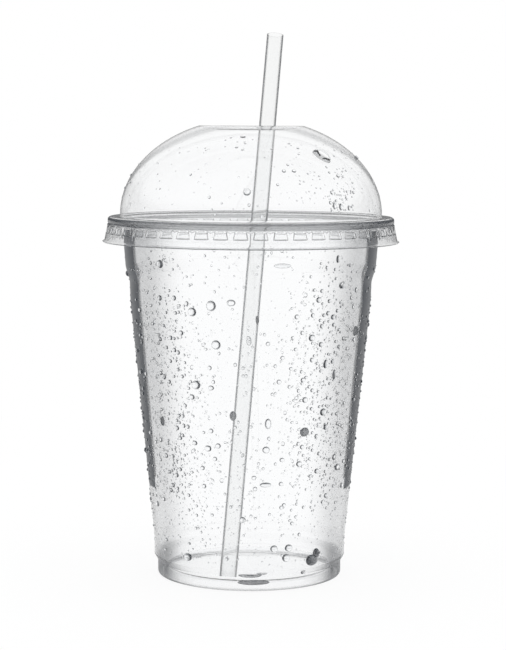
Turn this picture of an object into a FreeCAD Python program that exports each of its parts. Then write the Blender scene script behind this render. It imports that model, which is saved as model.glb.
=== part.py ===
import FreeCAD, Part
import math
import os

# A clear cold-drink cup with a dome lid and a straight straw. All sizes are in millimetres.
# The origin is the centre of the foot ring, on the surface that the cup stands on, with +Z up.

# Cup shell
cup_wall = 0.4
cup_rim_top = 125.0
collar_reach = 1.33
rim_width = 3.7
rim_depth = 3.2
rim_curl_radius = 1.2
rim_end_gap = 1.0

# Cup foot and floor
foot_radius = 32.2
foot_ring_width = 2.7
foot_outer_round = 1.2
foot_inner_round = 0.7
foot_side_height = 5.1
floor_height = 3.2
floor_round = 0.9
floor_draft = 0.5

# Cup ledge, base band and tapered wall
ledge_reach = 1.25
ledge_rise = 2.1
ledge_round = 0.5
base_band_height = 5.6
crease_round = 1.5
taper_angle = 5.78
taper_height = 84.2
neck_height = 6.5
neck_reach = 0.2
neck_round = 20.0
shoulder_rise = 4.5
shoulder_reach = 1.4
shoulder_round = 5.0

# Lid shell
lid_wall = 0.35
lid_seat_gap = 0.3
lid_side_gap = 0.85
flange_width = 4.3
flange_round = 0.6
band_height = 2.0
band_round = 1.1
groove_depth = 0.3
groove_rise = 0.6
skirt_step = 0.1
skirt_height = 5.5
skirt_flare = 1.05
lip_reach = 0.7
lip_drop = 0.45
lip_round = 0.4

# Lid dome and drinking hole
dome_height = 33.4
dome_foot = 0.8
dish_width = 6.0
hole_radius = 12.0
hole_dish = 1.1
ridge_round = 1.6

# Pressed panels round the skirt
panel_count = 48
panel_depth = 0.5
panel_top_width = 3.9
panel_bottom_width = 5.0
panel_height = 2.5
panel_top_margin = 0.45

# Straw
straw_diameter = 5.8
straw_wall = 0.25
straw_length = 190.0
straw_gap = 0.4
straw_foot_bearing = -104.5
straw_hole_bearing = 51.0

axis_point = FreeCAD.Vector(0, 0, 0)
up = FreeCAD.Vector(0, 0, 1)

# Heights and outer radii of the cup, from the foot up
foot_inner_radius = foot_radius - foot_ring_width
ledge_radius = foot_radius + ledge_reach
ledge_top = foot_side_height + ledge_rise
band_top = ledge_top + base_band_height
taper_top = band_top + taper_height
taper_radius = ledge_radius + taper_height * math.tan(math.radians(taper_angle))
neck_top = taper_top + neck_height
neck_radius = taper_radius + neck_reach
shoulder_top = neck_top + shoulder_rise
shoulder_radius = neck_radius + shoulder_reach
rim_wall_radius = shoulder_radius + collar_reach
rim_radius = rim_wall_radius + rim_width

# Heights and outer radii of the lid, which goes over the cup's rim
flange_top = cup_rim_top + lid_seat_gap + lid_wall
band_radius = rim_radius + lid_side_gap + lid_wall
dome_radius = band_radius - flange_width
dome_base = flange_top + dome_foot
dome_top_radius = hole_radius + dish_width
lid_band_bottom = flange_top - band_height
groove_radius = band_radius - groove_depth
skirt_top = lid_band_bottom - groove_rise
skirt_top_radius = band_radius + skirt_step
skirt_bottom = skirt_top - skirt_height
skirt_bottom_radius = skirt_top_radius + skirt_flare


def point(radius, height):
    # A point of a section, which lies in the XZ plane.
    return FreeCAD.Vector(radius, 0, height)


def shifted(corners, shift):
    # The same run of corners moved sideways, to the left of its direction of travel.
    moved = []
    for i, (radius, height, fillet) in enumerate(corners):
        here = point(radius, height)
        before = point(*corners[i - 1][:2]) if i > 0 else None
        after = point(*corners[i + 1][:2]) if i < len(corners) - 1 else None
        into = (here - before).normalize() if before else (after - here).normalize()
        out = (after - here).normalize() if after else into
        left_in = FreeCAD.Vector(-into.z, 0, into.x)
        left_out = FreeCAD.Vector(-out.z, 0, out.x)
        place = here + (left_in + left_out) * (shift / (1 + left_in.dot(left_out)))
        turns_left = into.x * out.z - into.z * out.x > 0
        rounding = fillet - shift if turns_left else fillet + shift
        moved.append((place.x, place.z, max(rounding, 0) if fillet else 0))
    return moved


def rounded_edges(corners):
    # Straight runs from corner to corner, each inner corner rounded by its own radius.
    edges = []
    last = point(*corners[0][:2])
    for i in range(1, len(corners) - 1):
        radius, height, fillet = corners[i]
        here = point(radius, height)
        back = (point(*corners[i - 1][:2]) - here).normalize()
        ahead = (point(*corners[i + 1][:2]) - here).normalize()
        half_angle = back.getAngle(ahead) / 2
        start = here + back * (fillet / math.tan(half_angle))
        if (start - last).Length > 1e-6:
            edges.append(Part.makeLine(last, start))
        last = start
        if fillet > 0:
            bisector = (back + ahead).normalize()
            centre = here + bisector * (fillet / math.sin(half_angle))
            end = here + ahead * (fillet / math.tan(half_angle))
            edges.append(Part.Arc(start, centre - bisector * fillet, end).toShape())
            last = end
    edges.append(Part.makeLine(last, point(*corners[-1][:2])))
    return edges


def revolved(edges):
    # One turn about the cup's axis of the section that the edges close.
    wire = Part.Wire(Part.__sortEdges__(edges))
    return Part.Face(wire).revolve(axis_point, up, 360)


def cup_corners():
    # The outer face of the cup, from the middle of the floor out to the end of the rolled rim.
    floor_under = floor_height - cup_wall
    curl = rim_radius - cup_wall
    curl_top = cup_rim_top - cup_wall
    curl_bottom = cup_rim_top - rim_depth + cup_wall
    return [
        (0, floor_under, 0),
        (foot_inner_radius - floor_draft, floor_under, floor_round),
        (foot_inner_radius, 0, foot_inner_round),
        (foot_radius, 0, foot_outer_round),
        (foot_radius, foot_side_height, ledge_round),
        (ledge_radius, ledge_top, ledge_round),
        (ledge_radius, band_top, crease_round),
        (taper_radius, taper_top, neck_round),
        (neck_radius, neck_top, shoulder_round),
        (shoulder_radius, shoulder_top, shoulder_round),
        (rim_wall_radius, curl_top, rim_curl_radius),
        (curl, curl_top, rim_curl_radius),
        (curl, curl_bottom, rim_curl_radius),
        (rim_wall_radius + rim_end_gap, curl_bottom, 0),
    ]


def make_cup():
    outer = cup_corners()
    inner = shifted(outer, cup_wall)
    ends = [
        Part.makeLine(point(*outer[0][:2]), point(*inner[0][:2])),
        Part.makeLine(point(*outer[-1][:2]), point(*inner[-1][:2])),
    ]
    return revolved(rounded_edges(outer) + rounded_edges(inner) + ends)


def lid_rim_corners():
    # The outer face of the lid, from the foot of the dome down to the out-turned lip.
    return [
        (dome_radius, dome_base, 0),
        (dome_radius, flange_top, flange_round),
        (band_radius, flange_top, band_round),
        (band_radius, lid_band_bottom, 0),
        (groove_radius, lid_band_bottom - groove_rise / 2, 0),
        (skirt_top_radius, skirt_top, 0),
        (skirt_bottom_radius, skirt_bottom, lip_round),
        (skirt_bottom_radius + lip_reach, skirt_bottom - lip_drop, 0),
    ]


def dome_end(thickness):
    # Where the dome's outline, thinned by that much, reaches the ring that crowns it.
    share = dome_top_radius / (dome_radius - thickness)
    return point(dome_top_radius, dome_base + (dome_height - thickness) * math.sqrt(1 - share ** 2))


def dome_edge(thickness):
    # A quarter ellipse from the foot of the dome up to its crown.
    long_axis = point(dome_radius - thickness, dome_base)
    short_axis = point(0, dome_base + dome_height - thickness)
    ellipse = Part.Ellipse(long_axis, short_axis, point(0, dome_base))
    return ellipse.toShape(0, ellipse.parameter(dome_end(thickness)))


def hole_edge_point(thickness):
    # The dished top falls from the crown to the hole's edge.
    return point(hole_radius, dome_end(0).z - hole_dish - thickness)


def make_lid_shell():
    outer = lid_rim_corners()
    inner = shifted(outer, -lid_wall)
    inner[0] = (dome_radius - lid_wall, dome_base, 0)
    edges = rounded_edges(outer) + rounded_edges(inner)
    for thickness in (0, lid_wall):
        edges.append(dome_edge(thickness))
        edges.append(Part.makeLine(dome_end(thickness), hole_edge_point(thickness)))
    edges.append(Part.makeLine(hole_edge_point(0), hole_edge_point(lid_wall)))
    edges.append(Part.makeLine(point(*outer[-1][:2]), point(*inner[-1][:2])))
    return rounded_crown(revolved(edges))


def rounded_crown(shell):
    # The ridge between the dome and its dished top is rounded inside and out.
    crown = []
    for edge in shell.Edges:
        box = edge.BoundBox
        flat = box.ZLength < 1e-3 and box.ZMin > dome_base + dome_height / 2
        if flat and abs(box.XMax - dome_top_radius) < 1e-3:
            crown.append(edge)
    return shell.makeFillet(ridge_round, crown)


def panel_block(grow, depth, reach):
    # One panel's block, on the +X side of the lid, lying against the slanted skirt.
    # It runs from that depth below the skirt's outer face to that reach above it.
    slant = math.atan2(skirt_flare, skirt_height)
    top = panel_height / 2 + grow
    half_top = panel_top_width / 2 + grow
    half_bottom = panel_bottom_width / 2 + grow
    outline = [
        FreeCAD.Vector(-depth, -half_top, top),
        FreeCAD.Vector(-depth, half_top, top),
        FreeCAD.Vector(-depth, half_bottom, -top),
        FreeCAD.Vector(-depth, -half_bottom, -top),
    ]
    block = Part.Face(Part.makePolygon(outline + outline[:1])).extrude(FreeCAD.Vector(depth + reach, 0, 0))
    middle = skirt_top - panel_top_margin - panel_height / 2
    face_radius = skirt_top_radius + (skirt_top - middle) * math.tan(slant)
    block.rotate(axis_point, FreeCAD.Vector(0, -1, 0), math.degrees(slant))
    block.translate(point(face_radius, middle))
    return block


def round_the_skirt(block):
    # A copy of the block at every panel.
    copies = []
    for i in range(panel_count):
        copy = block.copy()
        copy.rotate(axis_point, up, (i + 0.5) * 360 / panel_count)
        copies.append(copy)
    return copies


def make_lid():
    lugs = round_the_skirt(panel_block(lid_wall, panel_depth + lid_wall, -lid_wall / 2))
    pockets = round_the_skirt(panel_block(0, panel_depth, 2 * panel_depth))
    return make_lid_shell().fuse(lugs).cut(pockets)


def around(reach, bearing, height):
    # A point at that distance from the axis, at a bearing in degrees from +X.
    turn = math.radians(bearing)
    return FreeCAD.Vector(reach * math.cos(turn), reach * math.sin(turn), height)


def make_straw():
    # It stands in the corner of the floor and leans on the far side of the drinking hole.
    straw_radius = straw_diameter / 2
    foot_reach = foot_radius - cup_wall - straw_radius - straw_gap
    hole_reach = hole_radius - straw_radius - straw_gap
    hole = around(hole_reach, straw_hole_bearing, hole_edge_point(0).z)
    foot = around(foot_reach, straw_foot_bearing, floor_height)
    lean = (hole - foot).normalize()
    # The lowest point of the square cut end clears the floor by the same small gap.
    foot.z = floor_height + straw_gap + straw_radius * math.sqrt(1 - lean.z ** 2)
    lean = (hole - foot).normalize()
    tube = Part.makeCylinder(straw_radius, straw_length, foot, lean)
    bore = Part.makeCylinder(straw_radius - straw_wall, straw_length, foot, lean)
    return tube.cut(bore)


def main():
    os.makedirs("parts", exist_ok=True)
    pieces = {"cup": make_cup(), "lid": make_lid(), "straw": make_straw()}
    for name, shape in pieces.items():
        shape.exportStep("parts/" + name + ".step")
        box = shape.BoundBox
        print(name, "valid" if shape.isValid() else "NOT VALID", len(shape.Solids), "solid",
              round(shape.Volume, 1), "mm3", "z", round(box.ZMin, 2), round(box.ZMax, 2),
              "width", round(box.XLength, 2), round(box.YLength, 2))


main()
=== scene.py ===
import math
import random
import bpy
from mathutils import Matrix, Vector
from mathutils.bvhtree import BVHTree


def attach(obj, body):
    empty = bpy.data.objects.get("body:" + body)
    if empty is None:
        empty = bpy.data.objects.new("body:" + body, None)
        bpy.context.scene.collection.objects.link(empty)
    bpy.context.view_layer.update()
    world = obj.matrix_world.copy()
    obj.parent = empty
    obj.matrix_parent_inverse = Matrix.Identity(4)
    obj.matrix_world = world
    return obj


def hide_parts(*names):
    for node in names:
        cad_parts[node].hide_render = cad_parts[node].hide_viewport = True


# a clear cold-drink cup with a dome lid and a straw, beaded with water
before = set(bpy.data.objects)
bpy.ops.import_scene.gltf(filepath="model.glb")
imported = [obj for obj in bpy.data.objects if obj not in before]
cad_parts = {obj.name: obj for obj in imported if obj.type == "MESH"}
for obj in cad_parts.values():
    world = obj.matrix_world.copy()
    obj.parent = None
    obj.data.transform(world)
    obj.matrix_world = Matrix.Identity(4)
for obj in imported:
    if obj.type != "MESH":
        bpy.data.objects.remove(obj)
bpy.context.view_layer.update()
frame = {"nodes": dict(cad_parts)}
print("frame loaded:", ", ".join(frame["nodes"]))

mm = 0.001
fullTurn = 2 * math.pi
mergeReach = 0.01 * mm  # points nearer than this are one
seamReach = 0.002 * mm  # the same where an outline's own points are close
degreesPerFacet = 13  # of a rounded corner


# small helpers for modelling

def leaveEditMode():
    if bpy.context.mode != "OBJECT":
        bpy.ops.object.mode_set(mode="OBJECT")


def selectOnly(piece):
    leaveEditMode()
    bpy.ops.object.select_all(action="DESELECT")
    piece.select_set(True)
    bpy.context.view_layer.objects.active = piece


def selectWhere(piece, kind, test):
    # kind is vertices, edges or polygons; test is given each one of them
    leaveEditMode()
    mesh = piece.data
    for part in (mesh.vertices, mesh.edges, mesh.polygons):
        part.foreach_set("select", [False] * len(part))
    for item in getattr(mesh, kind):
        if test(item):
            item.select = True
    bpy.ops.object.mode_set(mode="EDIT")
    bpy.ops.mesh.select_mode(type={"vertices": "VERT", "edges": "EDGE", "polygons": "FACE"}[kind])


def directionOf(start, end):
    # from one point of an outline to the next, given as radius and height
    return Vector((end[0] - start[0], 0, end[1] - start[1])).normalized()


def drawOutline(name, corners, longestStep):
    # extrudes a point from corner to corner, then rounds each corner; radius, height, round in mm
    leaveEditMode()
    bpy.ops.object.select_all(action="DESELECT")
    startRadius, startHeight = corners[0][:2]
    bpy.ops.mesh.primitive_plane_add(size=mm, location=(startRadius * mm, 0, startHeight * mm))
    bpy.ops.object.transform_apply(location=True)
    piece = bpy.context.object
    piece.name = name
    bpy.ops.object.mode_set(mode="EDIT")
    bpy.ops.mesh.select_mode(type="VERT")
    bpy.ops.mesh.select_all(action="SELECT")
    bpy.ops.mesh.merge(type="CENTER")
    for last, here in zip(corners, corners[1:]):
        across, rise = here[0] - last[0], here[1] - last[1]
        steps = max(1, math.ceil(math.hypot(across, rise) / longestStep))
        move = (across * mm / steps, 0, rise * mm / steps)
        for step in range(steps):
            bpy.ops.mesh.extrude_region_move(TRANSFORM_OT_translate={"value": move})
    for last, here, following in zip(corners, corners[1:], corners[2:]):
        if here[2]:
            roundCorner(piece, last, here, following)
    return piece


def roundCorner(piece, last, here, following):
    turn = directionOf(last, here).angle(directionOf(here, following))
    corner = Vector((here[0] * mm, 0, here[1] * mm))
    selectWhere(piece, "vertices", lambda vertex: (vertex.co - corner).length < mergeReach)
    bpy.ops.mesh.bevel(
        offset_type="OFFSET", offset=here[2] * math.tan(turn / 2) * mm, affect="VERTICES",
        segments=max(2, round(math.degrees(turn) / degreesPerFacet)), profile=0.5)


def spinOutline(piece, steps, angle=fullTurn):
    # turns the outline about the cup's axis and closes its seam
    bpy.ops.object.mode_set(mode="OBJECT")
    selectWhere(piece, "vertices", lambda vertex: True)
    bpy.ops.mesh.spin(steps=steps, angle=angle, center=(0, 0, 0), axis=(0, 0, 1))
    bpy.ops.mesh.select_all(action="SELECT")
    bpy.ops.mesh.remove_doubles(threshold=seamReach)
    bpy.ops.mesh.normals_make_consistent(inside=False)
    bpy.ops.object.mode_set(mode="OBJECT")


def faceOutwards(piece, height):
    # the faces at that height, in mm, look away from the axis, or the whole shell is flipped
    nearest = min(piece.data.polygons, key=lambda face: abs(face.center.z - height * mm))
    if nearest.normal.xy.dot(nearest.center.xy) < 0:
        selectWhere(piece, "polygons", lambda face: True)
        bpy.ops.mesh.flip_normals()
        leaveEditMode()


def addWall(piece, thickness):
    # the outline is the outer face, and the wall grows inwards from it
    selectOnly(piece)
    wall = piece.modifiers.new("wall", "SOLIDIFY")
    wall.thickness = thickness * mm
    wall.offset = -1
    wall.use_even_offset = True
    bpy.ops.object.modifier_apply(modifier=wall.name)


def smoothFaces(piece, sharpAngle):
    # edges sharper than the angle, in degrees, stay crisp
    selectOnly(piece)
    bpy.ops.object.shade_smooth_by_angle(angle=math.radians(sharpAngle))


def useMaterial(piece, material):
    piece.data.materials.clear()
    piece.data.materials.append(material)


# materials: a socket that can be added, multiplied and compared

wallTip = 0.27  # how far the side masks tip a wall's normal up
wallTipEven = 0.02  # what that adds at the photo's height


class Wire:
    def __init__(self, tree, socket):
        self.tree = tree
        self.socket = socket

    def withMath(self, operation, *values):
        return self.tree.add("ShaderNodeMath", {"operation": operation}, dict(enumerate((self, *values))))

    def __add__(self, other):
        return self.withMath("ADD", other)

    def __sub__(self, other):
        return self.withMath("SUBTRACT", other)

    def __rsub__(self, other):
        return self * -1 + other

    def __mul__(self, other):
        return self.withMath("MULTIPLY", other)

    def __truediv__(self, other):
        return self.withMath("DIVIDE", other)

    def between(self, low, high):
        # 0 below low and 1 above high, with a soft change from one to the other
        return self.tree.add(
            "ShaderNodeMapRange", {"interpolation_type": "SMOOTHSTEP"},
            {"Value": self, "From Min": low, "From Max": high})

    def betweenMm(self, low, high):
        return self.between(low * mm, high * mm)

    def most(self, other):
        return self.withMath("MAXIMUM", other)

    def size(self):
        return self.withMath("ABSOLUTE")

    __radd__ = __add__
    __rmul__ = __mul__


class NodeTree:
    def __init__(self, owner):
        owner.use_nodes = True
        self.nodes = owner.node_tree.nodes
        self.links = owner.node_tree.links
        self.nodes.clear()

    def add(self, kind, settings=None, values=None, output=0):
        node = self.nodes.new(kind)
        for name, value in (settings or {}).items():
            setattr(node, name, value)
        for name, value in (values or {}).items():
            if isinstance(value, Wire):
                self.links.new(value.socket, node.inputs[name])
            else:
                node.inputs[name].default_value = value
        return Wire(self, node.outputs[output]) if node.outputs else None

    def mix(self, factor, first, second):
        return self.add("ShaderNodeMixShader", None, {0: factor, 1: first, 2: second})

    def place(self):
        # the point's place and its height, in the piece's own frame
        at = self.add("ShaderNodeTexCoord", None, None, "Object")
        return at, self.add("ShaderNodeSeparateXYZ", None, {0: at}, "Z")

    def ray(self, kind):
        return self.add("ShaderNodeLightPath", None, None, kind)

    def facing(self, normal=None):
        # 0 where the surface, or the wall under a bead, looks at the eye and 1 where it turns away
        values = {"Blend": 0.5, "Normal": normal} if normal else {"Blend": 0.5}
        return self.add("ShaderNodeLayerWeight", None, values, "Facing")

    def sideFacing(self):
        # the same for walls, tipped up a little so that they aren't edge-on all over from above
        normal = self.add("ShaderNodeTexCoord", None, None, "Normal")
        tipped = self.add("ShaderNodeVectorMath", {"operation": "ADD"}, {0: normal, 1: (0, 0, wallTip)})
        tipped = self.add("ShaderNodeVectorMath", {"operation": "NORMALIZE"}, {0: tipped})
        return 1 + wallTipEven - (1 - self.facing(tipped)) * math.hypot(1, wallTip)

    def slope(self):
        # 1 on level faces that look up, 0 on upright ones and -1 below, in the piece's own frame
        normal = self.add("ShaderNodeTexCoord", None, None, "Normal")
        return self.add("ShaderNodeSeparateXYZ", None, {0: normal}, "Z")

    def outward(self, at, base, stretch):
        # the way that the wall or dome under a bead faces
        outward = self.add(
            "ShaderNodeVectorMath", {"operation": "MULTIPLY_ADD"},
            {0: at, 1: (1, 1, stretch), 2: (0, 0, -base * stretch)})
        return self.add("ShaderNodeVectorMath", {"operation": "NORMALIZE"}, {0: outward})

    def lean(self, outward):
        # 0 where the surface faces the way that the wall under it does, 1 where it stands across it
        normal = self.add("ShaderNodeTexCoord", None, None, "Normal")
        alike = self.add(
            "ShaderNodeVectorMath", {"operation": "DOT_PRODUCT"}, {0: outward, 1: normal}, "Value")
        return 1 - alike

    def fromAxis(self, at):
        # how far the point is from the cup's axis
        flat = self.add("ShaderNodeVectorMath", {"operation": "MULTIPLY"}, {0: at, 1: (1, 1, 0)})
        return self.add("ShaderNodeVectorMath", {"operation": "LENGTH"}, {0: flat}, "Value")

    def surface(self, shader):
        self.add("ShaderNodeOutputMaterial", None, {"Surface": shader})


def newMaterial(name):
    material = bpy.data.materials.new(name)
    return material, NodeTree(material)


clearPlastic = {
    "tint": (0.987, 0.99, 0.993, 1),
    "ior": 1.5,
    "roughness": 0.0,
    "shade": (0.034, 0.041, 0.052, 1),  # painted shade: the dark that the masks mix into the walls where they are seen edge-on
    "shadeRoughness": 0.35,
    "shadeGloss": 0.2,
    "shadowTint": (0.86, 0.87, 0.88, 1),
}


def clearShader(tree, paintedShadeMask, tint=clearPlastic["tint"], ior=clearPlastic["ior"]):
    # refracting plastic that casts a pale shadow; the mask mixes in a dark shader, which is painted shade
    look = clearPlastic
    clear = tree.add("ShaderNodeBsdfPrincipled", None, {
        "Base Color": tint, "Roughness": look["roughness"], "IOR": ior, "Transmission Weight": 1.0})
    # painted shade, mixed into the clear plastic by the mask
    paintedShade = tree.add("ShaderNodeBsdfPrincipled", None, {
        "Base Color": look["shade"], "Roughness": look["shadeRoughness"],
        "Specular IOR Level": look["shadeGloss"]})
    seen = tree.mix(paintedShadeMask, clear, paintedShade)
    shadow = tree.add("ShaderNodeBsdfTransparent", None, {"Color": look["shadowTint"]})
    tree.surface(tree.mix(tree.ray("Is Shadow Ray"), seen, shadow))


# in these settings of painted shade, a pair is where a change begins and ends: heights and distances in
# mm, and facing from 0, where the surface looks at the eye, to 1, where it is seen edge-on

cupPaintedShade = {
    "bandFacing": (0.61, 0.65),  # the painted dark bands at both sides of the wall
    "bandShade": 0.84,
    "bandStart": (31.8, 32.4),
    "bandEnd": (121, 122),
    "lowFacing": (0.65, 0.95),  # the paler painted shade at the sides under the bands
    "lowShade": 0.25,
    "roundFacing": (0.14, 0.5),  # the soft painted shade that rounds the wall, a little stronger higher up
    "roundShade": 0.15,
    "roundRise": (15, 85),
    "roundGain": 0.07,
    "footTop": (6.5, 8.5),
    "footReach": (30.8, 31.6),
    "footFacing": (0.3, 0.6),
    "footShade": 0.55,
    "footEdge": (0.3, 1.2),
    "footEdgeShade": 0.15,
    "floorTop": (4, 5),
    "floorShade": 0.015,
    "uprightSlope": (0.5, 0.8),
}


def makeCupPlastic():
    # painted shade: dark at both sides of the wall from a sharp line above its foot up to the lid
    look = cupPaintedShade
    material, tree = newMaterial("clearCupPlastic")
    at, height = tree.place()
    facing = tree.sideFacing()
    upright = 1 - tree.slope().size().between(*look["uprightSlope"])
    above = height.betweenMm(*look["bandStart"])
    wall = above * (1 - height.betweenMm(*look["bandEnd"]))
    band = facing.between(*look["bandFacing"]) * look["bandShade"] * wall
    low = facing.between(*look["lowFacing"]) * look["lowShade"] * (1 - above)
    gain = height.betweenMm(*look["roundRise"]) * look["roundGain"]
    paintedRoundShade = facing.between(*look["roundFacing"]) * (gain + look["roundShade"])
    # painted shade on the foot's outer side and bottom edge, and a little on the cup's floor
    foot = (1 - height.betweenMm(*look["footTop"])) * tree.fromAxis(at).betweenMm(*look["footReach"])
    footSide = foot * facing.between(*look["footFacing"]) * look["footShade"]
    footEdge = foot * (1 - height.betweenMm(*look["footEdge"])) * look["footEdgeShade"]
    floor = (1 - height.betweenMm(*look["floorTop"])) * (1 - upright) * look["floorShade"]
    clearShader(tree, (paintedRoundShade + band + low) * upright + footSide + footEdge + floor)
    return material


lidPaintedShade = {
    "edgeStart": (0.86, 0.94),  # the dome's painted dark contour
    "edgeEnd": (0.98, 1.06),
    "edgeShade": 0.48,
    "crownRise": (130, 154),  # towards the crown the contour moves inwards and gets paler
    "crownShift": 0.22,
    "crownFade": 0.28,
    "holeReach": (12.05, 12.2),
    "holeShade": 0.3,
    "dishReach": (13.2, 14.2),
    "dishFacing": (0.6, 0.85),
    "dishShade": 0.35,
    "skirtTop": (122.6, 123.2),
    "skirtFacing": (0.14, 0.5),
    "skirtShade": 0.22,
    "rimTop": (125.2, 125.5),
    "rimReach": (48.8, 49.5),
    "rimFacing": (0.2, 0.7),
    "rimSideShade": 0.42,
    "rimShade": 0.27,
    "rimTopEdge": (124.2, 124.8),
    "rimTopShade": 0.2,
}


def makeLidPlastic():
    # painted shade: the dome's dark contour, dark rings round the hole and in its dish, the skirt's sides
    # and the rim band
    look = lidPaintedShade
    material, tree = newMaterial("clearLidPlastic")
    at, height = tree.place()
    facing, around = tree.facing(), tree.sideFacing()
    aboveSkirt = height.betweenMm(*look["skirtTop"])
    crown = height.betweenMm(*look["crownRise"])
    away = facing + crown * look["crownShift"]
    paintedContour = away.between(*look["edgeStart"]) * (1 - away.between(*look["edgeEnd"]))
    dome = paintedContour * (look["edgeShade"] - crown * look["crownFade"]) * aboveSkirt
    reach = tree.fromAxis(at)
    paintedHoleEdge = (1 - reach.betweenMm(*look["holeReach"])) * look["holeShade"]
    inDish = 1 - reach.betweenMm(*look["dishReach"])
    dish = inDish * facing.between(*look["dishFacing"]) * look["dishShade"]
    skirt = (1 - aboveSkirt) * around.between(*look["skirtFacing"]) * look["skirtShade"]
    rim = aboveSkirt * (1 - height.betweenMm(*look["rimTop"])) * reach.betweenMm(*look["rimReach"])
    rimSide = around.between(*look["rimFacing"]) * look["rimSideShade"]
    rimTop = height.betweenMm(*look["rimTopEdge"]) * look["rimTopShade"]
    clearShader(tree, dome + skirt + rim * (rimSide + look["rimShade"] + rimTop) + paintedHoleEdge.most(dish))
    return material


strawTintAndShade = {
    "tint": (0.987, 0.99, 0.989, 1),
    "edgeFacing": (0.3, 0.75),
    "edgeShade": 0.75,
    "bodyShade": 0.015,
}


def makeStrawPlastic():
    look = strawTintAndShade
    material, tree = newMaterial("clearStrawPlastic")
    # painted shade at the straw's edges and a little over its whole body; its tint is the plastic's own
    # colour
    paintedShadeMask = tree.facing().between(*look["edgeFacing"]) * look["edgeShade"]
    clearShader(tree, paintedShadeMask + look["bodyShade"], look["tint"])
    return material


water = {
    "tint": (0.99, 0.995, 1, 1),
    "ior": 1.33,
    "leanStart": (0.16, 0.42),  # a bead's painted dark crescent: how far its surface leans from the wall's
    "leanEnd": (0.9, 1.2),
    "leanFacing": (0.3, 0.65),
    "rimFacing": (0.45, 0.8),
    "rimShade": 0.35,
    "topSlope": (0.35, 0.75),
    # the beads painted dark: painted shade over all of each bead, more at its edge
    "paintedDarkFacing": (0, 0.4),
    "paintedDarkEdgeShade": 0.12,
    "paintedDarkShade": 0.43,
}

# how dark the painted crescents are, the painted shade along the beads' tops, and on the beads over the
# wall's painted dark bands
beadPaintedShades = {
    "wallWater": {"paintedCrescent": 0.88, "top": 0.5, "band": 0.5},
    "paleWallWater": {"paintedCrescent": 0.25, "top": 0.2, "band": 0},
    "domeWater": {"paintedCrescent": 0.8, "top": 0, "band": 0},
    "paleDomeWater": {"paintedCrescent": 0.4, "top": 0, "band": 0},
}


def makeWater(name, base=0, stretch=0):
    # painted shade: a bead's edge is dark where it stands across its wall and looks at the eye, and along
    # its top
    look, shades = water, beadPaintedShades[name]
    material, tree = newMaterial(name)
    at, height = tree.place()
    facing = tree.facing()
    outward = tree.outward(at, base, stretch)
    lean = tree.lean(outward)
    across = lean.between(*look["leanStart"]) * (1 - lean.between(*look["leanEnd"]))
    paintedCrescent = across * (1 - facing.between(*look["leanFacing"])) * shades["paintedCrescent"]
    rim = facing.between(*look["rimFacing"]) * look["rimShade"]
    top = tree.slope().between(*look["topSlope"]) * shades["top"]
    band = tree.facing(outward).between(*cupPaintedShade["bandFacing"]) * shades["band"]
    onPaintedBand = band * height.betweenMm(*cupPaintedShade["bandStart"])
    clearShader(tree, paintedCrescent.most(rim + top).most(onPaintedBand), look["tint"], look["ior"])
    return material


def makePaintedDarkWater():
    # the few beads that look dark: painted shade over the whole bead, more at its edge
    look = water
    material, tree = newMaterial("paintedDarkWater")
    paintedShadeMask = tree.facing().between(*look["paintedDarkFacing"]) * look["paintedDarkEdgeShade"]
    clearShader(tree, paintedShadeMask + look["paintedDarkShade"], look["tint"], look["ior"])
    return material


# the cup

cupSize = {
    "wall": 0.4,
    "floorUnder": 2.8,
    "footRadius": 32.2,
    "footRing": 2.7,
    "footSide": 5.1,
    "ledgeRadius": 33.45,
    "ledgeTop": 7.2,
    "creaseTop": 12.8,
    "taperRadius": 41.973,
    "taperTop": 97.0,
    "neckRadius": 42.173,
    "neckTop": 103.5,
    "shoulderRadius": 43.573,
    "shoulderTop": 108.0,
    "collarRadius": 44.903,
    "curlRadius": 48.203,
    "curlTop": 124.6,
    "curlBottom": 122.2,
    "rimEnd": 45.903,
    "floorRound": 0.9,
    "innerFootRound": 0.7,
    "footRound": 1.2,
    "ledgeRound": 0.5,
    "creaseRound": 1.5,
    "taperRound": 20,
    "shoulderRound": 5,
    "curlRound": 1.2,
    "ringSlope": 0.5,  # how far the foot ring's inner side slopes
    "longestStep": 4,
    "steps": 192,
    "sharpAngle": 50,
}


def makeCup():
    size = cupSize
    ringInside = size["footRadius"] - size["footRing"]
    corners = [
        (0, size["floorUnder"], 0),
        (ringInside - size["ringSlope"], size["floorUnder"], size["floorRound"]),
        (ringInside, 0, size["innerFootRound"]),
        (size["footRadius"], 0, size["footRound"]),
        (size["footRadius"], size["footSide"], size["ledgeRound"]),
        (size["ledgeRadius"], size["ledgeTop"], size["ledgeRound"]),
        (size["ledgeRadius"], size["creaseTop"], size["creaseRound"]),
        (size["taperRadius"], size["taperTop"], size["taperRound"]),
        (size["neckRadius"], size["neckTop"], size["shoulderRound"]),
        (size["shoulderRadius"], size["shoulderTop"], size["shoulderRound"]),
        (size["collarRadius"], size["curlTop"], size["curlRound"]),
        (size["curlRadius"], size["curlTop"], size["curlRound"]),
        (size["curlRadius"], size["curlBottom"], size["curlRound"]),
        (size["rimEnd"], size["curlBottom"], 0),
    ]
    cup = drawOutline("cupShell", corners, size["longestStep"])
    spinOutline(cup, size["steps"])
    faceOutwards(cup, size["taperTop"] / 2)
    addWall(cup, size["wall"])
    smoothFaces(cup, size["sharpAngle"])
    useMaterial(cup, makeCupPlastic())
    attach(cup, "cup")
    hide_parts("cup")
    print("cup shell made:", len(cup.data.polygons), "faces")
    return cup


# the lid

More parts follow.
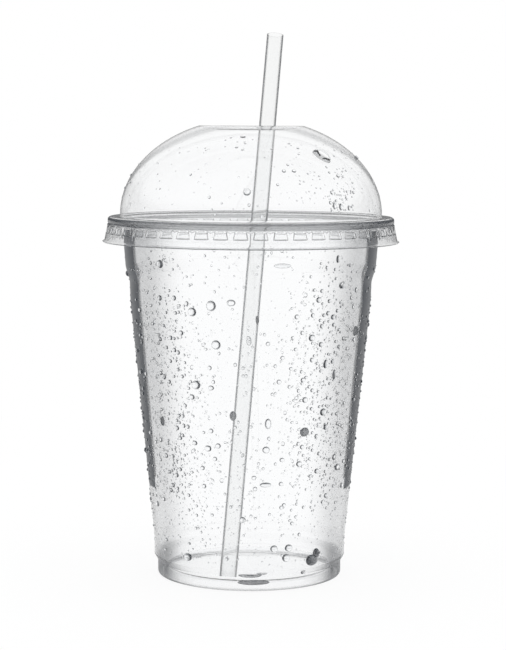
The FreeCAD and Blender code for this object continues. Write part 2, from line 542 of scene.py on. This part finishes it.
lidSize = {
    "wall": 0.35,
    "domeRadius": 45.503,
    "domeHeight": 33.4,
    "domeBase": 126.45,
    "domeSteps": 26,
    "crownRadius": 18,
    "crownRound": 1.6,
    "holeRadius": 12,
    "dish": 1.1,
    "flangeTop": 125.65,
    "bandRadius": 49.803,
    "bandBottom": 123.65,
    "grooveRadius": 49.503,
    "skirtTopRadius": 49.903,
    "skirtTop": 123.05,
    "skirtRadius": 50.953,
    "skirtBottom": 117.55,
    "lipRadius": 51.653,
    "lipBottom": 117.1,
    "panels": 48,
    "panelTop": 122.6,
    "panelBottom": 120.1,
    "panelDepth": 0.5,
    "panelMargin": 0.35,
    "panelTaper": 0.8,
    "stepsPerPanel": 8,
    "flangeRound": 0.6,
    "bandRound": 1.1,
    "lipRound": 0.4,
    "longestStep": 4,
    "sharpAngle": 50,
}

# the dome is an ellipse, and this weighs the height in the direction that a point on it faces
domeStretch = (lidSize["domeRadius"] / lidSize["domeHeight"]) ** 2


def skirtPoint(height):
    # a point of the outline on the flared skirt
    size = lidSize
    share = (size["skirtTop"] - height) / (size["skirtTop"] - size["skirtBottom"])
    return size["skirtTopRadius"] + share * (size["skirtRadius"] - size["skirtTopRadius"]), height, 0


def domePoint(turn):
    # a point of the outline on the dome, turned up from its foot
    size = lidSize
    return (size["domeRadius"] * math.cos(turn), size["domeBase"] + size["domeHeight"] * math.sin(turn), 0)


def lidCorners():
    size = lidSize
    crownTurn = math.acos(size["crownRadius"] / size["domeRadius"])
    crownHeight = domePoint(crownTurn)[1]
    corners = [
        (size["holeRadius"], crownHeight - size["dish"], 0),
        (size["crownRadius"], crownHeight, size["crownRound"]),
    ]
    for step in range(1, size["domeSteps"] + 1):
        corners.append(domePoint(crownTurn * (1 - step / size["domeSteps"])))
    corners += [
        (size["domeRadius"], size["flangeTop"], size["flangeRound"]),
        (size["bandRadius"], size["flangeTop"], size["bandRound"]),
        (size["bandRadius"], size["bandBottom"], 0),
        (size["grooveRadius"], (size["bandBottom"] + size["skirtTop"]) / 2, 0),
        skirtPoint(size["skirtTop"]),
        skirtPoint(size["panelTop"]),
        skirtPoint(size["panelBottom"]),
        (size["skirtRadius"], size["skirtBottom"], size["lipRound"]),
        (size["lipRadius"], size["lipBottom"], 0),
    ]
    return corners


def pressPanel(lid):
    # one panel in the middle of the sector: inset, pushed in, and narrowed at its top
    size = lidSize
    halfTurn = (size["stepsPerPanel"] / 2 - 1) / size["stepsPerPanel"] * fullTurn / size["panels"]
    halfWidth = size["bandRadius"] * math.sin(halfTurn) * mm
    top, bottom = size["panelTop"] * mm, size["panelBottom"] * mm
    middle = (top + bottom) / 2

    def inPanel(face):
        at = face.center
        return abs(at.y) < halfWidth and bottom < at.z < top and at.x > size["grooveRadius"] * mm

    def inUpperHalf(vertex):
        # with room for the panel's own corners, and clear of the dome inside
        at = vertex.co
        upper = middle < at.z < top + mergeReach
        return upper and abs(at.y) < halfWidth * 1.02 and at.x > 0.9 * size["bandRadius"] * mm

    selectWhere(lid, "polygons", inPanel)
    bpy.ops.mesh.inset(
        thickness=size["panelMargin"] * mm, depth=-size["panelDepth"] * mm, use_boundary=True)
    leaveEditMode()
    selectWhere(lid, "vertices", inUpperHalf)
    bpy.ops.transform.resize(value=(1, size["panelTaper"], 1), center_override=(0, 0, 0))
    leaveEditMode()


def repeatSector(lid):
    # copies the sector round the axis and merges the seams
    size = lidSize
    selectWhere(lid, "vertices", lambda vertex: True)
    bpy.ops.mesh.spin(
        steps=size["panels"], angle=fullTurn, dupli=True, center=(0, 0, 0), axis=(0, 0, 1))
    bpy.ops.mesh.select_all(action="SELECT")
    bpy.ops.mesh.remove_doubles(threshold=mergeReach)
    bpy.ops.mesh.normals_make_consistent(inside=False)
    leaveEditMode()


def turnLid(lid, angle):
    # about the cup's axis
    selectWhere(lid, "vertices", lambda vertex: True)
    bpy.ops.transform.rotate(value=angle, orient_axis="Z", center_override=(0, 0, 0))
    leaveEditMode()


def makeLid():
    # one sector is turned from the outline, gets its panel, and is copied all round
    size = lidSize
    lid = drawOutline("domeLid", lidCorners(), size["longestStep"])
    sector = fullTurn / size["panels"]
    spinOutline(lid, size["stepsPerPanel"], sector)
    turnLid(lid, -sector / 2)
    pressPanel(lid)
    repeatSector(lid)
    turnLid(lid, sector / 2)
    faceOutwards(lid, (size["skirtBottom"] + size["panelBottom"]) / 2)
    addWall(lid, size["wall"])
    smoothFaces(lid, size["sharpAngle"])
    useMaterial(lid, makeLidPlastic())
    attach(lid, "lid")
    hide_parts("lid")
    print("lid made:", len(lid.data.polygons), "faces")
    return lid


# the straw

strawSize = {
    "radius": 2.9,
    "wall": 0.25,
    "length": 189.999,
    "foot": (-7.136, -27.592, 4.275),
    "lean": (0.080787, 0.220073, 0.972132),  # the way that it points, from its foot
    "sides": 96,
    "sharpAngle": 40,
}


def makeStraw():
    size = strawSize
    leaveEditMode()
    bpy.ops.object.select_all(action="DESELECT")
    lean = Vector(size["lean"]).normalized()
    middle = Vector(size["foot"]) * mm + lean * (size["length"] / 2 * mm)
    bpy.ops.mesh.primitive_cylinder_add(
        vertices=size["sides"], radius=size["radius"] * mm, depth=size["length"] * mm,
        end_fill_type="NOTHING", location=middle, rotation=lean.to_track_quat("Z", "Y").to_euler())
    bpy.ops.object.transform_apply(location=True, rotation=True, scale=True)
    straw = bpy.context.object
    straw.name = "straightStraw"
    addWall(straw, size["wall"])
    smoothFaces(straw, size["sharpAngle"])
    useMaterial(straw, makeStrawPlastic())
    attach(straw, "straw")
    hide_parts("straw")
    print("straw made:", len(straw.data.polygons), "faces")
    return straw


# floor, studio light and camera

studio = {
    "floorRadius": 3.0,
    "floorColour": (0.93, 0.935, 0.94, 1),
    "floorGlow": 0.9,  # how much of the floor's white doesn't depend on the light
    "shadowReach": (0.05, 0.4),  # metres over which the floor fades to plain white
    "skyRise": (0.1, 0.42),  # from the horizon, 0, to overhead, 1
    "skyLow": 0.28,
    "skyHigh": 1.0,
    "worldStrength": 0.9,
    "lampPlace": (0, 0, 1.4),
    "lampAim": (0, 0, 0.08),
    "lampSize": 1.2,
    "lampPower": 6.0,
    "bounces": 32,
    "glossyBounces": 8,
}


def makeFloor():
    leaveEditMode()
    bpy.ops.object.select_all(action="DESELECT")
    bpy.ops.mesh.primitive_circle_add(vertices=128, radius=studio["floorRadius"], fill_type="NGON")
    floor = bpy.context.object
    floor.name = "studioFloor"
    material, tree = newMaterial("whiteFloor")
    glow = tree.add("ShaderNodeEmission", None, {"Color": (1, 1, 1, 1), "Strength": 1.0})
    paint = tree.add("ShaderNodeBsdfDiffuse", None, {"Color": studio["floorColour"]})
    seen = tree.ray("Is Camera Ray").most(tree.ray("Is Glossy Ray")).most(tree.ray("Is Transmission Ray"))
    at = tree.place()[0]
    away = tree.add("ShaderNodeVectorMath", {"operation": "LENGTH"}, {0: at}, "Value")
    plain = away.between(*studio["shadowReach"])
    share = plain * (1 - studio["floorGlow"]) + studio["floorGlow"]
    tree.surface(tree.mix(seen * share, paint, glow))
    useMaterial(floor, material)


def makeWorld():
    # white where it is seen directly or through the plastic; mirrored, it is darker near the horizon
    world = bpy.data.worlds.new("studioWorld")
    bpy.context.scene.world = world
    tree = NodeTree(world)
    direction = tree.add("ShaderNodeTexCoord", None, None, "Generated")
    height = tree.add("ShaderNodeSeparateXYZ", None, {0: direction}, "Z")
    sky = height.between(*studio["skyRise"]) * (studio["skyHigh"] - studio["skyLow"]) + studio["skyLow"]
    white = tree.ray("Is Camera Ray").most(tree.ray("Is Transmission Ray"))
    level = white.most(sky * studio["worldStrength"])
    light = tree.add("ShaderNodeBackground", None, {"Color": (1, 1, 1, 1), "Strength": level})
    tree.add("ShaderNodeOutputWorld", None, {"Surface": light})


def makeLamp():
    # it lights the floor and casts the shadow, and doesn't show as a disc in the plastic
    lamp = bpy.data.lights.new("overheadSoftbox", "AREA")
    lamp.shape = "DISK"
    lamp.size = studio["lampSize"]
    lamp.energy = studio["lampPower"]
    holder = bpy.data.objects.new("overheadSoftbox", lamp)
    bpy.context.scene.collection.objects.link(holder)
    holder.location = studio["lampPlace"]
    holder.visible_glossy = False
    holder.visible_transmission = False
    aim = Vector(studio["lampAim"]) - Vector(studio["lampPlace"])
    holder.rotation_euler = aim.to_track_quat("-Z", "Y").to_euler()


camera = {
    "distance": 711,  # this and the next two in mm, then two angles in degrees
    "across": 0.9,
    "eyeHeight": 156.1,
    "lookDown": 5.5,
    "roll": 0.3,
    "focalPixels": 2040,
    "photoWidth": 506,
    "photoHeight": 650,
    "sensor": 36,
    "clip": (0.05, 50),
}


def makeCamera():
    view = camera
    lens = bpy.data.cameras.new("photoLens")
    lens.sensor_width = view["sensor"]
    lens.lens = view["focalPixels"] * view["sensor"] / view["photoHeight"]
    lens.clip_start, lens.clip_end = view["clip"]
    holder = bpy.data.objects.new("photoCamera", lens)
    bpy.context.scene.collection.objects.link(holder)
    place = Matrix.Translation(Vector((view["across"], -view["distance"], view["eyeHeight"])) * mm)
    aim = Matrix.Rotation(math.radians(90 - view["lookDown"]), 4, "X")
    roll = Matrix.Rotation(math.radians(view["roll"]), 4, "Z")
    holder.matrix_world = place @ aim @ roll
    bpy.context.scene.camera = holder
    return holder


# water beads: one cap is modelled, then copied over the shells

beadSize = {
    "seed": 11,
    "gap": 0.02,  # between a bead and the shell that it sits on
    "height": 0.78,  # of a bead, as a share of its radius
    "fineSides": 8,
    "roundSides": 20,
    "spacing": 0.85,  # share of two beads' radii that stays between their centres
    "castFrom": 0.09,  # metres from the axis, outside all the shells
    "fieldBias": 2,  # the higher, the more of the beads are small
    "patchBias": 1.6,
    "fieldStretch": (0.85, 1.2),
    "patchStretch": (0.85, 1.3),
    "leastTurn": 0.46,  # beads of a patch stay where the wall looks this much at the camera
    "mostNarrowed": 0.35,  # a drop at the side is seen narrowed, and is widened by no more than this
    "sharpAngle": 50,
    "paleDropTurn": 40,
}

# fields of fine beads: how many, between which heights, and the smallest and largest radius in mm
beadFields = {
    "wallMist": {"count": 2600, "heights": (29, 113), "radii": (0.17, 0.5)},
    "footMist": {"count": 500, "heights": (8.5, 30), "radii": (0.16, 0.4)},
    "wallDrops": {"count": 300, "heights": (26, 113), "radii": (0.5, 0.95)},
    "domeMist": {"count": 170, "heights": (128, 151), "radii": (0.2, 0.6)},
}

# patches of beads in the photo: left, top, right and bottom in its pixels, how many, and the
# smallest and largest half width
cupPatches = [
    (130, 288, 190, 500, 330, 0.6, 2.2), (135, 440, 215, 560, 190, 0.5, 1.8),
    (288, 288, 352, 490, 380, 0.6, 2.2), (190, 330, 300, 560, 240, 0.5, 2),
    (135, 245, 335, 290, 90, 0.5, 1.6),
]
lidPatches = [
    (329, 190, 354, 212, 60, 0.7, 1.9), (334, 168, 354, 192, 24, 0.6, 1.6),
    (298, 172, 328, 204, 22, 0.6, 1.5), (114, 176, 160, 196, 14, 0.6, 1.3),
    (225, 130, 300, 160, 24, 0.6, 1.5), (135, 135, 215, 165, 14, 0.6, 1.4),
]

# how thickly the wall is beaded, from 0 to 1; it is fullest between the front and the sides
crowding = {
    "footTop": 30,
    "foot": 0.6,
    "domeFoot": 126,
    "dome": 0.5,
    "front": 0.12,
    "riseFrom": 0.3,
    "riseOver": 0.4,
    "sideFrom": 0.88,
    "side": 0.4,
    "thinAbove": 95,
    "thin": 0.5,
}


def makeBeadCap(sides):
    # a ball cut flat a little above its middle, one unit across the cut
    leaveEditMode()
    bpy.ops.object.select_all(action="DESELECT")
    share = beadSize["height"]
    ballRadius = (1 + share ** 2) / (2 * share)
    bpy.ops.mesh.primitive_uv_sphere_add(segments=sides, ring_count=sides * 3 // 4, radius=ballRadius)
    cap = bpy.context.object
    cap.name = "beadCap"
    cut = ballRadius - share
    bpy.ops.object.mode_set(mode="EDIT")
    bpy.ops.mesh.select_all(action="SELECT")
    bpy.ops.mesh.bisect(plane_co=(0, 0, cut), plane_no=(0, 0, 1), use_fill=True, clear_inner=True)
    bpy.ops.mesh.poke()
    bpy.ops.mesh.select_all(action="SELECT")
    bpy.ops.transform.translate(value=(0, 0, -cut))
    bpy.ops.mesh.normals_make_consistent(inside=False)
    leaveEditMode()
    base = cap.vertex_groups.new(name="base")  # its flat side, which is laid on a shell
    base.add([vertex.index for vertex in cap.data.vertices if vertex.co.z < 0.001], 1, "REPLACE")
    return cap


def shellTree(shell):
    # finds where a ray meets a shell
    return BVHTree.FromObject(shell, bpy.context.evaluated_depsgraph_get())


def copyBead(cap, at, normal, across, along, turn):
    # radii in metres; along is the length up the wall
    bead = cap.copy()
    bead.data = cap.data.copy()
    bpy.context.scene.collection.objects.link(bead)
    stand = normal.to_track_quat("Z", "Y").to_matrix().to_4x4()
    size = Matrix.Diagonal((across, along, math.sqrt(across * along), 1))
    bead.matrix_world = Matrix.Translation(at) @ stand @ Matrix.Rotation(turn, 4, "Z") @ size
    return bead


def joinBeads(name, groups, shell, body, material):
    # one piece of all the beads, with their flat sides laid on the shell; a group is a cap and its spots
    beads = [copyBead(cap, *spot) for cap, spots in groups for spot in spots]
    piece = bpy.data.objects.new(name, bpy.data.meshes.new(name))
    bpy.context.scene.collection.objects.link(piece)
    leaveEditMode()
    bpy.ops.object.select_all(action="DESELECT")
    for bead in beads:
        bead.select_set(True)
    piece.select_set(True)
    bpy.context.view_layer.objects.active = piece
    bpy.ops.object.join()
    lay = piece.modifiers.new("lay", "SHRINKWRAP")
    lay.target = shell
    lay.vertex_group = "base"
    lay.wrap_mode = "OUTSIDE_SURFACE"
    lay.offset = beadSize["gap"] * mm
    bpy.ops.object.modifier_apply(modifier=lay.name)
    smoothFaces(piece, beadSize["sharpAngle"])
    useMaterial(piece, material)
    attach(piece, body)
    print(name, "made:", len(beads), "beads,", len(piece.data.polygons), "faces")
    return piece


def beadLikely(side, height):
    # how likely a bead is at that place; side is 0 at the front or back and 1 at the sides
    if height < crowding["footTop"]:
        return crowding["foot"]
    if height > crowding["domeFoot"]:
        return crowding["dome"]
    crowd = crowding["side"]
    if side < crowding["sideFrom"]:
        crowd = min(1, max(0, (side - crowding["riseFrom"]) / crowding["riseOver"]))
    share = crowding["front"] + (1 - crowding["front"]) * crowd
    return share * (1 if height < crowding["thinAbove"] else crowding["thin"])


def scatterBeads(tree, field, taken):
    # beads at random bearings and heights, each laid where a ray towards the axis meets the shell
    spots = []
    low, high = field["heights"]
    small, large = field["radii"]
    while len(spots) < field["count"]:
        bearing = random.uniform(0, fullTurn)
        height = random.uniform(low, high)
        radius = small * (large / small) ** (random.random() ** beadSize["fieldBias"])
        chance = random.random()
        spin = random.uniform(0, fullTurn)
        stretch = random.uniform(*beadSize["fieldStretch"])
        if chance > beadLikely(abs(math.cos(bearing)), height):
            continue
        outward = Vector((math.cos(bearing), math.sin(bearing), 0))
        start = outward * beadSize["castFrom"] + Vector((0, 0, height * mm))
        at, normal, face, distance = tree.ray_cast(start, -outward)
        if at is None or crowded(at, radius * mm, taken):
            continue
        taken.append((at, radius * mm))
        spots.append((at, normal, radius * mm, radius * stretch * mm, spin if stretch < 1 else 0))
    return spots


def crowded(at, radius, taken):
    # a bead there would lie on another
    return any((at - other).length < (radius + reach) * beadSize["spacing"] for other, reach in taken)


# single drops, where the photo shows them: x and y in its 506 x 650 pixels, then half width and
# half height
cupDrops = [
    (160, 264, 3.5, 4.2), (192, 312, 4.4, 4.6), (211, 306, 5, 5.5), (231, 303, 4.6, 3.5),
    (216, 345, 4.7, 4.9), (181, 333, 2.5, 2.8), (174.5, 350, 2, 2.4), (196, 385, 4.4, 4.6),
    (211, 388, 3, 2.6), (192, 397, 2.8, 2.8), (209.5, 368, 2.2, 2.4), (160, 298, 2.3, 2.8),
    (174, 298, 2.3, 2.6), (160, 339, 2.3, 2.5), (342, 285, 3.4, 3.8), (319, 300, 3, 3),
    (322, 291, 2, 2), (338, 259, 2, 4), (297, 317, 2.6, 2.6), (333, 317, 2.5, 2.7),
    (312, 338, 3.5, 3.6), (321, 344.5, 2.5, 2.6), (325.5, 364, 2.5, 4.5), (334, 374.5, 2, 5),
    (279, 382, 2.5, 2.5), (303, 380, 2.5, 2.5), (305, 400, 3, 3), (323, 412, 3.5, 3.8),
    (268, 344, 2.3, 2.3), (282.5, 358, 2.2, 2.2), (266, 450, 3.8, 3.6), (282, 460, 2.5, 2.3),
    (299, 464, 3, 3), (265.5, 485, 5.8, 2.6), (254, 478, 2.5, 2.3), (255, 489, 2.3, 2.3),
    (281, 484, 2.3, 2.3), (302, 447, 2.3, 2.3), (325.5, 427, 2.5, 3), (334, 457, 2.5, 3),
    (337, 467, 3, 3.5), (316.5, 471, 2.5, 2.6), (284, 505, 2, 2), (274, 549, 3.8, 3.8),
    (288.5, 548, 3.8, 3.8), (286, 558, 4, 4.2), (208, 448.5, 3.5, 3.2), (195, 443, 2.5, 2.5),
    (218, 446, 2.8, 2.8), (211, 431, 2.5, 2.5), (202.5, 468, 2.3, 2.3), (215, 459, 2.3, 2.3),
    (166.5, 455.5, 2, 2.5), (173, 456, 2, 2), (177, 475, 2, 2.4), (171, 490, 2.3, 2.3),
    (173, 485, 2.3, 2.3), (189, 510, 1.5, 1.6), (268, 424, 3.4, 5.5), (303, 572, 2, 2.4),
    (251, 427, 2, 1.6), (188, 557, 4.2, 4), (242.5, 520, 3.2, 3.2),
]
# drops that are painted dark all over, with painted shade
paintedDarkCupDrops = [
    (304.4, 432, 4.7, 4.7), (355, 331, 2.6, 5), (233, 416, 3.4, 5), (163, 421, 2, 5),
    (311.5, 560, 6.2, 5.6), (315.8, 553, 3.6, 5), (253.5, 582.5, 16, 2.6),
]
paleCupDrops = [(282.5, 266, 9, 2.6), (250, 575.5, 10, 1.4), (262, 573.5, 5, 1)]
paleLidDrops = [(321.6, 156.5, 4.4, 10.5)]
lidDrops = [
    (356, 158, 2, 3), (247, 192, 4, 4), (243, 137, 2, 2), (294, 171, 2, 2), (284, 171, 2, 2),
    (338, 176, 2, 2), (341, 207, 2.4, 3.6), (334.5, 206, 2, 3.6), (349, 208, 1.8, 2.6),
    (262, 217, 2, 2.4), (249, 205, 1.6, 2),
]
strawDrops = [(249, 341, 2.8, 4.6), (246, 376, 1.8, 2), (243, 455, 1.6, 1.8), (252, 187, 1.8, 2.2)]
# a straw drop painted dark all over, with painted shade
paintedDarkStrawDrops = [(257, 320, 1.6, 4.2)]


def cameraRay(x, y):
    # from the camera through a pixel of the photo
    view = photoCamera.matrix_world
    across = (x - camera["photoWidth"] / 2) / camera["focalPixels"]
    rise = (camera["photoHeight"] / 2 - y) / camera["focalPixels"]
    return view.translation, (view.to_3x3() @ Vector((across, rise, -1))).normalized()


def dropsFromPhoto(tree, drops, taken, turn=0):
    # each drop is laid on the shell where the camera sees that pixel
    spots = []
    for x, y, halfWidth, halfHeight in drops:
        start, direction = cameraRay(x, y)
        at, normal, face, distance = tree.ray_cast(start, direction)
        if at is None:
            print("no shell behind the drop at", x, y)
            continue
        scale = distance / camera["focalPixels"]
        narrowed = max(beadSize["mostNarrowed"], abs(normal.dot(direction)))
        spots.append((at, normal, halfWidth * scale / math.sqrt(narrowed), halfHeight * scale, turn))
        taken.append((at, min(halfWidth, halfHeight) * scale))
    return spots


def patchFromPhoto(tree, patches, taken):
    # beads at random places in each patch; those on top of others are left out
    spots = []
    for left, top, right, bottom, count, small, large in patches:
        for bead in range(count):
            half = small * (large / small) ** (random.random() ** beadSize["patchBias"])
            x, y = random.uniform(left, right), random.uniform(top, bottom)
            start, direction = cameraRay(x, y)
            at, normal, face, distance = tree.ray_cast(start, direction)
            if at is None or abs(normal.dot(direction)) < beadSize["leastTurn"]:
                continue
            if crowded(at, half * distance / camera["focalPixels"], taken):
                continue
            drop = (x, y, half, half * random.uniform(*beadSize["patchStretch"]))
            spots += dropsFromPhoto(tree, [drop], taken)
    return spots


def makeBeads():
    random.seed(beadSize["seed"])
    bpy.context.view_layer.update()
    fine, large = makeBeadCap(beadSize["fineSides"]), makeBeadCap(beadSize["roundSides"])
    domeBase = lidSize["domeBase"] * mm
    paintedDarkWater = makePaintedDarkWater()
    wallWater, paleWallWater = makeWater("wallWater"), makeWater("paleWallWater")
    domeWater = makeWater("domeWater", domeBase, domeStretch)
    paleDomeWater = makeWater("paleDomeWater", domeBase, domeStretch)
    onCup, onLid, onStraw = shellTree(cup), shellTree(lid), shellTree(straw)

    taken = []  # the places and radii of the beads so far, so that none lies on another
    paintedDark = dropsFromPhoto(onCup, paintedDarkCupDrops, taken)
    single = dropsFromPhoto(onCup, cupDrops, taken)
    pale = dropsFromPhoto(onCup, paleCupDrops, taken)
    patches = patchFromPhoto(onCup, cupPatches, taken)
    drops = scatterBeads(onCup, beadFields["wallDrops"], taken)
    mist = scatterBeads(onCup, beadFields["wallMist"], taken)
    mist += scatterBeads(onCup, beadFields["footMist"], taken)
    joinBeads("paintedDarkDrops", [(large, paintedDark)], cup, "cup", paintedDarkWater)
    joinBeads("paleDrops", [(large, pale)], cup, "cup", paleWallWater)
    joinBeads("cupDrops", [(large, single), (fine, drops + patches)], cup, "cup", wallWater)
    joinBeads("cupMist", [(fine, mist)], cup, "cup", wallWater)

    taken = []
    pale = dropsFromPhoto(onLid, paleLidDrops, taken, math.radians(beadSize["paleDropTurn"]))
    single = dropsFromPhoto(onLid, lidDrops, taken)
    mist = patchFromPhoto(onLid, lidPatches, taken) + scatterBeads(onLid, beadFields["domeMist"], taken)
    joinBeads("paleLidDrops", [(large, pale)], lid, "lid", paleDomeWater)
    joinBeads("lidDrops", [(large, single), (fine, mist)], lid, "lid", domeWater)

    single = dropsFromPhoto(onStraw, strawDrops, taken)
    paintedDark = dropsFromPhoto(onStraw, paintedDarkStrawDrops, taken)
    joinBeads("strawDrops", [(large, single)], straw, "straw", wallWater)
    joinBeads("paintedDarkStrawDrops", [(large, paintedDark)], straw, "straw", paintedDarkWater)
    for cap in (fine, large):
        bpy.data.objects.remove(cap)


cup = makeCup()
lid = makeLid()
straw = makeStraw()
makeFloor()
makeWorld()
makeLamp()
photoCamera = makeCamera()
makeBeads()
bpy.context.scene.view_settings.view_transform = "Standard"
cycles = bpy.context.scene.cycles  # enough bounces for light to leave all the shells and beads
cycles.max_bounces = cycles.transmission_bounces = cycles.transparent_max_bounces = studio["bounces"]
cycles.glossy_bounces = studio["glossyBounces"]
print("stage, light and camera set")
